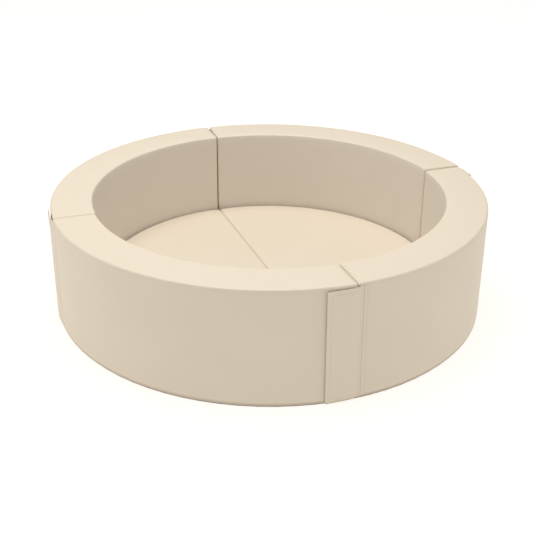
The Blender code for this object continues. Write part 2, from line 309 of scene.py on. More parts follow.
@dataclass(frozen=True)
class FauxLeather:
    """Soft vinyl leather: even cream, fine pebbled grain, satin gloss and painted shade."""

    name: str = "vinyl_cream"
    cream: Colour = (0.80, 0.711, 0.578)
    shade: Colour = (0.79, 0.70, 0.565)
    # Painted shading: a greyer, cooler copy of the cream on the inner walls, standing in for the light that
    # falls there.
    inner: Colour = (0.75, 0.69, 0.615)
    # Colour of the painted shade in seam grooves, folds and joint lines, and of the painted contact shadow
    # at the feet.
    painted_shade_colour: Colour = (0.44, 0.36, 0.28)
    seam_span: Span = (0.15, 1.0)
    seam_shade: Span = (0.0, 0.8)
    pebble: float = 1.4 * MM
    pebble_depth: float = 0.05 * MM
    pebble_show: float = 0.4
    crease: float = 5 * MM
    crease_depth: float = 0.08 * MM
    crease_detail: float = 4
    crease_show: float = 0.35
    patch: float = 190 * MM
    patch_detail: float = 1
    gloss_patch: float = 35 * MM
    roughness: Span = (0.44, 0.54)

    def material(self) -> bpy.types.Material:
        """Make the material.

        Returns:
            The material.
        """
        recipe = Recipe(self.name)
        patches = recipe.ranged(recipe.cloudy(self.patch, self.patch_detail), NOISE_SPAN)
        outer = recipe.mixed(patches, self.cream, self.shade)
        # Painted shading: the inner walls take their own tint.
        plain = recipe.mixed(recipe.layer(INNER_SHADE_LAYER), outer, self.inner)
        # Painted shade: the seam share darkens grooves, folds, joint lines and the feet towards the painted
        # shade colour.
        painted_seam_shade = recipe.ranged(recipe.layer(SEAM_SHADE_LAYER), self.seam_span, self.seam_shade)
        folds = recipe.cloudy(self.crease, self.crease_detail)
        creases = recipe.relief(folds, self.crease_depth, self.crease_show)
        cells = recipe.cells(self.pebble)
        return recipe.finish(
            base_color=recipe.mixed(painted_seam_shade, plain, self.painted_shade_colour),
            roughness=recipe.ranged(recipe.cloudy(self.gloss_patch), NOISE_SPAN, self.roughness),
            normal=recipe.relief(cells, self.pebble_depth, self.pebble_show, creases),
        )


@dataclass(frozen=True)
class OpenFoam:
    """Open-cell upholstery foam."""

    name: str = "foam_pale_yellow"
    pale: Colour = (0.84, 0.74, 0.44)
    deep: Colour = (0.72, 0.59, 0.30)
    pore: float = 1.8 * MM
    pore_span: Span = (0.2, 0.7)
    pore_depth: float = 0.6 * MM
    pore_show: float = 0.8

    def material(self) -> bpy.types.Material:
        """Make the material.

        Returns:
            The material.
        """
        recipe = Recipe(self.name)
        pores = recipe.cells(self.pore)
        return recipe.finish(
            # Painted shade: darker in the pore hollows, where the bump sinks.
            base_color=recipe.mixed(recipe.ranged(pores, self.pore_span), self.deep, self.pale),
            roughness=0.95,
            normal=recipe.relief(pores, self.pore_depth, self.pore_show),
        )


@dataclass(frozen=True)
class DottedBase:
    """Non-slip bottom cloth with small rubber dots in a square pattern."""

    name: str = "nonslip_base_grey"
    cloth: Colour = (0.085, 0.078, 0.07)
    dots: Colour = (0.03, 0.028, 0.026)
    spacing: float = 7 * MM
    dot_share: float = 0.27
    dot_edge_share: float = 0.04
    dot_height: float = 0.5 * MM
    dot_show: float = 0.9
    yarn: float = 0.8 * MM
    yarn_scatter: float = 0.3
    yarn_depth: float = 0.1 * MM
    yarn_show: float = 0.5
    roughness: Span = (0.9, 0.55)

    def material(self) -> bpy.types.Material:
        """Make the material.

        Returns:
            The material.
        """
        recipe = Recipe(self.name)
        edge = (self.dot_share - self.dot_edge_share, self.dot_share)
        dots = recipe.ranged(recipe.cells(self.spacing, 0.0), edge, (1.0, 0.0))
        yarns = recipe.cells(self.yarn, self.yarn_scatter)
        weave = recipe.relief(yarns, self.yarn_depth, self.yarn_show)
        return recipe.finish(
            base_color=recipe.mixed(dots, self.cloth, self.dots),
            roughness=recipe.ranged(dots, (0.0, 1.0), self.roughness),
            normal=recipe.relief(dots, self.dot_height, self.dot_show, weave),
        )


@dataclass(frozen=True)
class WovenTape:
    """Narrow woven or piled tape, used for zips and for hook and loop strips."""

    name: str
    light: Colour
    dark: Colour
    thread: float
    depth: float
    scatter: float
    thread_span: Span = (0.1, 0.7)
    thread_show: float = 0.8
    fuzz_threads: float = 3
    fuzz_detail: float = 3
    fuzz_show: float = 0.6

    def material(self) -> bpy.types.Material:
        """Make the material.

        Returns:
            The material.
        """
        recipe = Recipe(self.name)
        threads = recipe.cells(self.thread, self.scatter)
        fluff = recipe.cloudy(self.thread * self.fuzz_threads, self.fuzz_detail)
        fuzz = recipe.relief(fluff, self.depth, self.fuzz_show)
        return recipe.finish(
            base_color=recipe.mixed(
                recipe.ranged(threads, self.thread_span), self.light, self.dark
            ),
            roughness=0.9,
            sheen_weight=0.25,
            normal=recipe.relief(threads, self.depth, self.thread_show, fuzz),
        )


@dataclass(frozen=True)
class BrushedMetal:
    """Die-cast zinc of a zip slider, brushed along its length."""

    name: str = "zip_metal"
    bright: Colour = (0.60, 0.585, 0.55)
    dull: Colour = (0.45, 0.435, 0.41)
    stroke: float = 0.4 * MM
    stroke_detail: float = 3
    stroke_depth: float = 0.02 * MM
    stroke_show: float = 0.5
    stretch: Triple = (1.0, 0.08, 1.0)
    roughness: Span = (0.25, 0.42)

    def material(self) -> bpy.types.Material:
        """Make the material.

        Returns:
            The material.
        """
        recipe = Recipe(self.name)
        strokes = recipe.cloudy(self.stroke, self.stroke_detail, recipe.stretched(self.stretch))
        return recipe.finish(
            base_color=recipe.mixed(recipe.ranged(strokes, NOISE_SPAN), self.dull, self.bright),
            metallic=1.0,
            roughness=recipe.ranged(strokes, NOISE_SPAN, self.roughness),
            normal=recipe.relief(strokes, self.stroke_depth, self.stroke_show),
        )


@dataclass(frozen=True)
class SewingThread:
    """Bonded polyester thread, a shade darker than the leather."""

    name: str = "thread_cream"
    light: Colour = (0.74, 0.64, 0.50)
    dark: Colour = (0.60, 0.50, 0.37)
    twist: float = 0.35 * MM
    twist_scatter: float = 0.6
    ply_span: Span = (0.2, 0.7)
    ply_depth: float = 0.05 * MM
    ply_show: float = 0.6

    def material(self) -> bpy.types.Material:
        """Make the material.

        Returns:
            The material.
        """
        recipe = Recipe(self.name)
        ply = recipe.cells(self.twist, self.twist_scatter)
        return recipe.finish(
            base_color=recipe.mixed(recipe.ranged(ply, self.ply_span), self.light, self.dark),
            roughness=0.7,
            normal=recipe.relief(ply, self.ply_depth, self.ply_show),
        )


class Finishes:
    """Every material of the object, each made once."""

    def __init__(self) -> None:
        """Make them."""
        self.leather = FauxLeather().material()
        self.foam = OpenFoam().material()
        self.base = DottedBase().material()
        self.tape = WovenTape(
            "tape_beige",
            light=(0.62, 0.52, 0.38),
            dark=(0.45, 0.37, 0.26),
            thread=0.7 * MM,
            depth=0.15 * MM,
            scatter=0.2,
        ).material()
        self.loops = WovenTape(
            "loop_pile",
            light=(0.70, 0.60, 0.46),
            dark=(0.52, 0.43, 0.31),
            thread=0.9 * MM,
            depth=0.5 * MM,
            scatter=1.0,
        ).material()
        self.hooks = WovenTape(
            "hook_tape",
            light=(0.66, 0.56, 0.42),
            dark=(0.46, 0.38, 0.27),
            thread=1.3 * MM,
            depth=0.7 * MM,
            scatter=0.1,
        ).material()
        self.metal = BrushedMetal().material()
        self.thread = SewingThread().material()


def mesh_of(name: str, bm: bmesh.types.BMesh) -> bpy.types.Mesh:
    """Turn a bmesh into a mesh.

    Args:
        name: The mesh's name.
        bm: The shape, which is freed.

    Returns:
        The mesh.
    """
    mesh = bpy.data.meshes.new(name)
    bm.to_mesh(mesh)
    bm.free()
    return mesh


def mesh_object(name: str, bm: bmesh.types.BMesh, material: bpy.types.Material) -> bpy.types.Object:
    """Turn a bmesh into a smooth-shaded object at the origin.

    Args:
        name: The object's name.
        bm: The shape, which is freed.
        material: Its finish.

    Returns:
        The linked object.
    """
    mesh = mesh_of(name, bm)
    mesh.shade_smooth()
    mesh.materials.append(material)
    obj = bpy.data.objects.new(name, mesh)
    bpy.context.scene.collection.objects.link(obj)
    return obj


def beads(places: list[Matrix], around: int, rings: int) -> bmesh.types.BMesh:
    """Put a stretched ball at each of many places.

    Args:
        places: Where each ball goes, with its half sizes and its turn.
        around: Sides of a ball.
        rings: Rings of a ball, from end to end.

    Returns:
        All the balls.
    """
    single = bmesh.new()
    bmesh.ops.create_uvsphere(single, u_segments=around, v_segments=rings, radius=1)
    ball = bpy.data.meshes.new("ball")
    single.to_mesh(ball)
    single.free()
    bm = bmesh.new()
    for _ in places:
        bm.from_mesh(ball)
    for number, vert in enumerate(bm.verts):
        vert.co = places[number // len(ball.vertices)] @ vert.co
    bpy.data.meshes.remove(ball)
    return bm


def laid_along(place: Vector, along: Vector, up: Vector, size: Triple) -> Matrix:
    """The matrix that lays a unit shape along a direction.

    Args:
        place: Its middle.
        along: The direction of its length.
        up: The direction of its height.
        size: Its half length, half width and half height.

    Returns:
        The matrix.
    """
    along = along.normalized()
    across = up.cross(along).normalized()
    axes = Matrix((along, across, along.cross(across))).transposed()
    return Matrix.Translation(place) @ (axes @ Matrix.Diagonal(size)).to_4x4()


def thicken(obj: bpy.types.Object, thickness: float) -> None:
    """Give an open skin a real thickness, inwards.

    Args:
        obj: The skin.
        thickness: The thickness.
    """
    step = obj.modifiers.new("thickness", "SOLIDIFY")
    step.thickness = thickness
    step.offset = -1


@dataclass(frozen=True)
class Side:
    """One direction of a rounded block: its length, the rounding at each end, and its steps."""

    length: float
    low_round: float
    high_round: float
    fine: int
    coarse: int

    def stops(self) -> list[float]:
        """Lay out the steps of the side.

        Returns:
            Places along it, close together where its ends are rounded.
        """
        bend = [1 - math.tan(math.pi / 4 * (1 - step / self.fine)) for step in range(self.fine + 1)]
        flat = self.length - self.low_round - self.high_round
        low = [self.low_round * share for share in bend]
        middle = [self.low_round + flat * step / self.coarse for step in range(1, self.coarse)]
        high = [self.length - self.high_round * share for share in reversed(bend)]
        return low + middle + high

    def past_core(self, place: float) -> tuple[float, float]:
        """How far a place lies past the flat stretch.

        Args:
            place: A place along the side.

        Returns:
            The distance past the flat stretch with its sign, and the rounding there.
        """
        if place < self.low_round:
            return place - self.low_round, self.low_round
        if place > self.length - self.high_round:
            return place - self.length + self.high_round, self.high_round
        return 0.0, self.high_round


@dataclass(frozen=True)
class SkinPoint:
    """A point on a rounded block: its place, and how far it leans over each edge, -1 to 1."""

    place: Vector
    shares: Vector


@dataclass(frozen=True)
class RoundedBlock:
    """A block of even quads with rounded edges, which a function then puts in place."""

    sides: tuple[Side, Side, Side]

    def build(
        self,
        shape: Callable[[SkinPoint], tuple[Vector, float]],
        opening: Optional[Callable[[Vector], bool]] = None,
    ) -> bmesh.types.BMesh:
        """Build the block.

        Args:
            shape: Gives a point's final place and its share of seam, 0 to 1.
            opening: Says whether a face with this middle is left out.

        Returns:
            The block.
        """
        bm = bmesh.new()
        bmesh.ops.create_cube(bm, size=2)
        stops = [side.stops() for side in self.sides]
        for axis in range(3):
            along = [edge for edge in bm.edges if self._runs_along(edge, axis)]
            bmesh.ops.subdivide_edges(bm, edges=along, cuts=len(stops[axis]) - 2, use_grid_fill=True)
        for vert in bm.verts:
            for axis in range(3):
                last = len(stops[axis]) - 1
                vert.co[axis] = stops[axis][round((vert.co[axis] + 1) / 2 * last)]
        cut = [face for face in bm.faces if opening and opening(face.calc_center_median())]
        layer = bm.verts.layers.float.new(SEAM_SHADE_LAYER)
        for vert in bm.verts:
            vert.co, vert[layer] = shape(self._rounded(vert.co))
        bm.normal_update()
        bmesh.ops.recalc_face_normals(bm, faces=bm.faces)
        bmesh.ops.delete(bm, geom=cut, context="FACES")
        return bm

    @classmethod
    def slab(
        cls, size: Triple, edge: float, fine: int, coarse: tuple[int, int, int]
    ) -> "RoundedBlock":
        """A block whose edges are all rounded alike.

        Args:
            size: Its length, depth and height.
            edge: The rounding of its edges.
            fine: Steps round an edge.
            coarse: Steps along each side.

        Returns:
            The block, not yet built.
        """
        return cls(
            tuple(Side(length, edge, edge, fine, steps) for length, steps in zip(size, coarse))
        )

    @staticmethod
    def _runs_along(edge: bmesh.types.BMEdge, axis: int) -> bool:
        """Whether an edge of the first cube runs along an axis."""
        way = edge.verts[1].co - edge.verts[0].co
        return abs(way[axis]) > way.length / 2

    def _rounded(self, raw: Vector) -> SkinPoint:
        """Move a point of the square block onto its rounded skin.

        Args:
            raw: A place on the square block.

        Returns:
            The point on the skin.
        """
        past, rounds = zip(*(side.past_core(raw[axis]) for axis, side in enumerate(self.sides)))
        shares = Vector([distance / rounding for distance, rounding in zip(past, rounds)])
        way = shares.normalized()
        core = Vector([raw[axis] - past[axis] for axis in range(3)])
        place = core + Vector([way[axis] * rounds[axis] for axis in range(3)])
        return SkinPoint(place, shares)


@dataclass(frozen=True)
class Ring:
    """The ring's driving sizes, and the way from a straight block to a bent one."""

    outer: float
    height: float
    depth: float = 136 * MM
    joint_inset: float = 1 * MM
    steady: float = 60 * MM
    turn: float = math.pi / 2

    @property
    def inner(self) -> float:
        """Radius of the inner wall."""
        return self.outer - self.depth

    def arc(self, radius: float) -> float:
        """Length of a segment's arc at a radius, between its two end planes."""
        return radius * self.turn - 2 * self.joint_inset

    @property
    def length(self) -> float:
        """Length of a segment along the middle of its wall."""
        return self.arc((self.inner + self.outer) / 2)

    def bend(self, place: Vector) -> Vector:
        """Bend a straight block into a quarter ring with flat ends.

        Args:
            place: Distance along the wall, distance from its inner face, and height.

        Returns:
            The place in the first quarter of the ring.
        """
        radius = self.inner + place.y
        near = min(place.x, self.length - place.x)
        if near > self.steady:
            stretch = (self.arc(radius) / 2 - self.steady) / (self.length / 2 - self.steady)
            near = self.steady + (near - self.steady) * stretch
        angle = math.asin(self.joint_inset / radius) + near / radius
        if place.x > self.length / 2:
            angle = self.turn - angle
        return Vector((radius * math.cos(angle), radius * math.sin(angle), place.z))

    def outside(self, angle: float, along: float, out: float, z: float) -> Vector:
        """A point on the outer wall.

        Args:
            angle: Angle of the joint that distances are measured from.
            along: Distance from the joint, against the clock.
            out: Distance out from the wall.
            z: Height.

        Returns:
            The point.
        """
        turned = angle + along / self.outer
        radius = self.outer + out
        return Vector((radius * math.cos(turned), radius * math.sin(turned), z))


@dataclass(frozen=True)
class Stitches:
    """A row of machine stitches."""

    length: float = 3.6 * MM
    gap: float = 0.9 * MM
    width: float = 0.55 * MM

    def sew(self, path: list[Vector]) -> bmesh.types.BMesh:
        """Make stitches on the outer wall, along a path of short straight runs.

        Args:
            path: Corners of the path.

        Returns:
            The stitches.
        """
        size = (self.length / 2, self.width / 2, self.width / 2)
        places = []
        for start, end in zip(path, path[1:]):
            way = end - start
            count = max(1, round(way.length / (self.length + self.gap)))
            for number in range(count):
                middle = start + way * ((number + 0.5) / count)
                out = Vector((middle.x, middle.y, 0)).normalized()
                places.append(laid_along(middle, way, out, size))
        return beads(places, around=6, rings=4)


@dataclass(frozen=True)
class Swelling:
    """Swells a cover between its held seams, with Blender's cloth solver."""

    pressure: float = 4.0
    stiffness: float = 60.0
    cap: float = 2 * MM
    steps: int = 20
    easing: int = 6

    def apply(self, mesh: bpy.types.Mesh, held: Callable[[Vector], bool]) -> None:
        """Swell a mesh in place.

        Args:
            mesh: The cover.
            held: Whether the foam holds the cover at a point.
        """
        scene = bpy.context.scene
        obj = bpy.data.objects.new("swelling", mesh)
        scene.collection.objects.link(obj)
        fixed = [vert.index for vert in mesh.vertices if held(vert.co)]
        obj.vertex_groups.new(name="held").add(fixed, 1.0, "REPLACE")
        cloth = obj.modifiers.new("cloth", "CLOTH").settings
        cloth.vertex_group_mass = "held"
        cloth.use_pressure = True
        cloth.uniform_pressure_force = self.pressure
        cloth.tension_stiffness = cloth.compression_stiffness = self.stiffness
        cloth.effector_weights.gravity = 0
        for step in range(1, self.steps + 1):
            scene.frame_set(step)
        swollen = obj.evaluated_get(bpy.context.evaluated_depsgraph_get()).data
        shifts = np.array([after.co - vert.co for vert, after in zip(mesh.vertices, swollen.vertices)])
        bpy.data.objects.remove(obj)
        scene.frame_set(1)
        log.info("%s: swollen by up to %.1f mm", mesh.name, np.linalg.norm(shifts, axis=1).max() / MM)
        shifts = self._eased(mesh, shifts, fixed)
        for vert, shift in zip(mesh.vertices, map(Vector, shifts)):
            if shift.length > MERGE:
                vert.co += shift * (self.cap * math.tanh(shift.length / self.cap) / shift.length)

    def _eased(self, mesh: bpy.types.Mesh, shifts: np.ndarray, fixed: list[int]) -> np.ndarray:
        """Even the shifts out between neighbours, so that taut leather shows no ripples.

        Args:
            mesh: The cover.
            shifts: How far each of its points moved.
            fixed: The points that the foam holds.

        Returns:
            The evened shifts.
        """
        ends = np.array([edge.vertices[:] for edge in mesh.edges])
        count = np.bincount(ends.ravel(), minlength=len(shifts))[:, None]
        for _ in range(self.easing):
            total = np.zeros_like(shifts)
            np.add.at(total, ends[:, 0], shifts[ends[:, 1]])
            np.add.at(total, ends[:, 1], shifts[ends[:, 0]])
            shifts = (shifts + total / count) / 2
            shifts[fixed] = 0
        return shifts


def press_seams(mesh: bpy.types.Mesh, depth: float) -> None:
    """Press a mesh in along its seams.

    Args:
        mesh: The mesh.
        depth: How deep a full seam lies.
    """
    mesh.update()
    seams = mesh.attributes[SEAM_SHADE_LAYER].data
    places = [vert.co - vert.normal * (depth * seams[vert.index].value) for vert in mesh.vertices]
    for vert, place in zip(mesh.vertices, places):
        vert.co = place


@dataclass(frozen=True)
class WallForm:
    """The sewn cover of segments whose start edges are alike, before each settles in its place."""

    ring: Ring
    floor: float
    start_round: float
    top_round: float = 7 * MM
    end_round: float = 4 * MM
    foot_round: float = 4 * MM
    round_steps: int = 9
    hem: float = 14 * MM
    # Painted contact shadow: the lowest part of the cover is darkened, fading out above.
    foot_shadow_height: float = 4.5 * MM
    foot_shadow_fade: float = 3 * MM
    seam_depth: float = 0.8 * MM
    seam_width: float = 0.8 * MM
    pucker: float = 14 * MM
    pucker_share: float = 0.3
    wall_seam_share: float = 0.12
    end_seam_share: float = 0.88
    side_seam_share: float = 0.75
    # How much each seam shows: its pressed depth and its painted shade.
    inner_show: float = 0.6
    outer_show: float = 0.2
    end_show: float = 0.9
    side_show: float = 0.7
    held_edge: float = 14 * MM
    flap_zone: float = 108 * MM
    swelling: Swelling = Swelling()

    def skin(self) -> bpy.types.Mesh:
        """Build the cover in the first quarter of the ring.

        Returns:
            The cover's skin.
        """
        steps, height = self.round_steps, self.ring.height - self.floor
        block = RoundedBlock(
            (
                Side(self.ring.length, self.start_round, self.end_round, steps, coarse=120),
                Side(self.ring.depth, self.top_round, self.top_round, steps, coarse=12),
                Side(height, self.foot_round, self.top_round, steps, coarse=30),
            )
        )

        def shape(point: SkinPoint) -> tuple[Vector, float]:
            """Bend the block and mark its seams."""
            place = self.ring.bend(point.place + Vector((0, 0, self.floor)))
            return place, self._seam(point)

        def opening(middle: Vector) -> bool:
            """Whether a face of the bottom lies inside the hem."""
            sides = (middle.x, self.ring.length - middle.x, middle.y, self.ring.depth - middle.y)
            return middle.z < self.foot_round / steps and min(sides) > self.hem

        mesh = mesh_of("wall_skin", block.build(shape, opening))
        self.swelling.apply(mesh, self._held)
        press_seams(mesh, self.seam_depth)
        # Mark the inner wall and its rounding for the painted shading tint.
        inner = mesh.attributes.new(INNER_SHADE_LAYER, "FLOAT", "POINT").data
        for vert in mesh.vertices:
            depth = math.hypot(vert.co.x, vert.co.y) - self.ring.inner
            inner[vert.index].value = 1 - eased(depth / (self.top_round / 2))
        return mesh

    def _seam(self, point: SkinPoint) -> float:
        """Find the seams round the top and up the ends, and the painted contact shadow along the foot.

        Args:
            point: A point of the skin.

        Returns:
            The share of seam there, 0 to 1, which presses the seam in and darkens it as painted shade.
        """
        x, y, z = point.shares
        level = math.hypot(x, y)
        # Painted contact shadow along the foot.
        foot = 1 - eased((point.place.z - self.foot_shadow_height) / self.foot_shadow_fade)
        if level == 0:
            return foot if z < 0 else 0.0
        endwise = (x / level) ** 2
        quarter = math.pi / 2
        tilt, turn = math.atan2(z, level) / quarter, math.atan2(abs(y), abs(x)) / quarter
        place = self.wall_seam_share + (self.end_seam_share - self.wall_seam_share) * endwise
        top_gap = (self.top_round + (self.end_round - self.top_round) * endwise) * quarter
        top = bell(top_gap * (tilt - place), self.seam_width)
        wall_show = self.outer_show if y > 0 else self.inner_show
        top_show = self.end_show * endwise + wall_show * (1 - endwise)
        rounding = self.start_round if x < 0 else self.end_round
        side_gap = rounding * quarter * (turn - self.side_seam_share)
        side = bell(side_gap, self.seam_width) if x else 0.0
        below = bell(max(0.0, tilt - place) * top_gap, self.seam_width)
        puckers = 1 + self.pucker_share * (noise.noise(point.place / self.pucker) - 0.5)
        return max(top_show * top * puckers, self.side_show * side * below * puckers, foot)

    def _held(self, place: Vector) -> bool:
        """Find what holds the cover.

        Args:
            place: A place of the first quarter.

        Returns:
            Whether the foam's edges or a flap hold the cover there.
        """
        radius, angle = math.hypot(place.x, place.y), math.atan2(place.y, place.x)
        end = min(angle, self.ring.turn - angle) * radius
        side = min(radius - self.ring.inner, self.ring.outer - radius)
        rise = min(place.z - self.floor, self.ring.height - place.z)
        under_flap = self.ring.outer - radius < self.top_round and end < self.flap_zone
        return under_flap or sorted((end, side, rise))[1] < self.held_edge


@dataclass(frozen=True)
class Settling:
    """How one segment sits.

    Its start edge has a rounding, stands up by lift, lets its outer corner droop and parts from
    the joint on the inner side. Its end lies in by inset, and the outer top corner there draws
    back by splay. seam_show is how much of the seam at its start is seen.
    """

    start_round: float = 7.5 * MM
    lift: float = 0.5 * MM
    droop: float = 0.0
    parting: float = 0.0
    inset: float = 0.0
    splay: float = 0.0
    # Scales the painted shade of the seam at the segment's start.
    seam_show: float = 1.0
    lift_reach: float = 180 * MM
    droop_width: float = 10 * MM
    droop_share: float = 0.25
    seam_reach: float = 30 * MM
    parting_reach: float = 40 * MM
    parting_closing: float = 0.4
    wave: float = 0.5 * MM
    wave_length: float = 120 * MM
    calm_foot_share: float = 0.5
    calm_top_share: float = 0.125

    def shift(self, ring: Ring, place: Vector, seed: float) -> Vector:
        """How far a place of the first quarter moves.

        Args:
            ring: The ring.
            place: The place.
            seed: Tells one segment's waves from another's.

        Returns:
            The shift.
        """
        radius, angle = math.hypot(place.x, place.y), math.atan2(place.y, place.x)
        out = Vector((place.x, place.y, 0)) / radius
        along = Vector((-out.y, out.x, 0))
        start, end = angle * radius, (ring.turn - angle) * radius
        rise = max(0.0, place.z) / ring.height
        corner = math.hypot(start, ring.outer - radius)
        near_top = eased(1 - (1 - rise) / self.droop_share)
        droop = self.droop * bell(corner, self.droop_width) * near_top
        up = self.lift * eased(1 - start / self.lift_reach) * rise - droop
        inwards = (ring.outer - radius) / ring.depth
        opened = inwards * (1 - self.parting_closing * rise)
        part = self.parting * opened * eased(1 - start / self.parting_reach)
        part -= self.splay * (1 - inwards) ** 2 * rise**2 * eased(1 - end / self.parting_reach)
        inset = self.inset * eased(1 - end / self.lift_reach)
        wave = self.wave * noise.noise(place / self.wave_length + Vector((0, 0, seed)))
        wave *= eased(min(start, end) / self.lift_reach) * eased(rise / self.calm_foot_share)
        wave *= eased((1 - rise) / self.calm_top_share)
        return Vector((0, 0, up)) + along * part + out * (wave - inset)


@dataclass
class WallSegment:
    """One quarter of the wall: a foam core in a sewn cover, open underneath at its zip."""

    quarter: Quarter
    ring: Ring
    finishes: Finishes
    settling: Settling
    vinyl: float = 1 * MM
    foam_round: float = 12 * MM
    foam_inset: float = 2.2 * MM
    wave_seed: float = 7.3

    @property
    def title(self) -> str:
        """The segment's name."""
        return self.quarter.title

    def cover(self, skin: bpy.types.Mesh) -> bpy.types.Object:
        """Args:
            skin: The cover's skin in the first quarter.

        Returns:
            The cover.
        """
        bm = bmesh.new()
        bm.from_mesh(skin)
        layer = bm.verts.layers.float[SEAM_SHADE_LAYER]
        for vert in bm.verts:
            # Scale the painted seam shade near the segment's start.
            if 0 <= vert.co.y < self.settling.seam_reach and vert.co.z > self.ring.height / 2:
                vert[layer] *= self.settling.seam_show
        obj = self._place(f"{self.title}_wall", bm, self.finishes.leather, Slot.VINYL)
        thicken(obj, self.vinyl)
        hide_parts(f"{self.title}_cover")
        return obj

    def core(self) -> bpy.types.Object:
        """Returns:
            The core.
        """
        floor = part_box(f"{self.title}_foam_core")[0].z
        inset, edge = self.foam_inset, self.foam_round
        block = RoundedBlock(
            (
                Side(self.ring.length - 2 * inset, edge, edge, fine=2, coarse=60),
                Side(self.ring.depth - 2 * inset, edge, edge, fine=2, coarse=6),
                Side(self.ring.height - inset - floor, edge / 3, edge, fine=2, coarse=14),
            )
        )
        inside = Vector((inset, inset, floor))
        bm = block.build(lambda point: (self.ring.bend(point.place + inside), 0.0))
        obj = self._place(f"{self.title}_foam", bm, self.finishes.foam, Slot.FOAM)
        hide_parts(f"{self.title}_foam_core")
        return obj

    def _place(
        self, name: str, bm: bmesh.types.BMesh, material: bpy.types.Material, slot: Slot
    ) -> bpy.types.Object:
        """Settle a shape, turn it to this quarter and let it ride on the segment's body.

        Args:
            name: The piece's name.
            bm: Its shape in the first quarter, which is freed.
            material: Its finish.
            slot: Its slot in the record; not used.

        Returns:
            The piece.
        """
        seed = self.wave_seed * self.quarter.value
        for vert in bm.verts:
            vert.co += self.settling.shift(self.ring, vert.co, seed)
        turn = Matrix.Rotation(self.quarter.start, 4, "Z")
        bmesh.ops.transform(bm, matrix=turn, verts=bm.verts)
        obj = mesh_object(name, bm, material)
        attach(obj, f"{self.title}_segment")
        return obj


@dataclass(frozen=True)
class FlapHang:
    """How one flap hangs.

    It leans by lean from foot to top, and its fold stands up by tilt. Its free end stands off the
    wall by flare and reaches longer past its place, and its top gapes in the middle. It sits lift
    above its place, and its foot is drop lower. crispness is 1 where its fold and the sewn margin
    stand out, and near 0 where the margin lies smooth.
    """

    lean: float = 2 * MM
    tilt: float = 0.5 * MM
    flare: float = 1.5 * MM
    gape: float = 1.5 * MM
    lift: float = 1 * MM
    drop: float = 0.0
    longer: float = 0.0
    crispness: float = 1.0


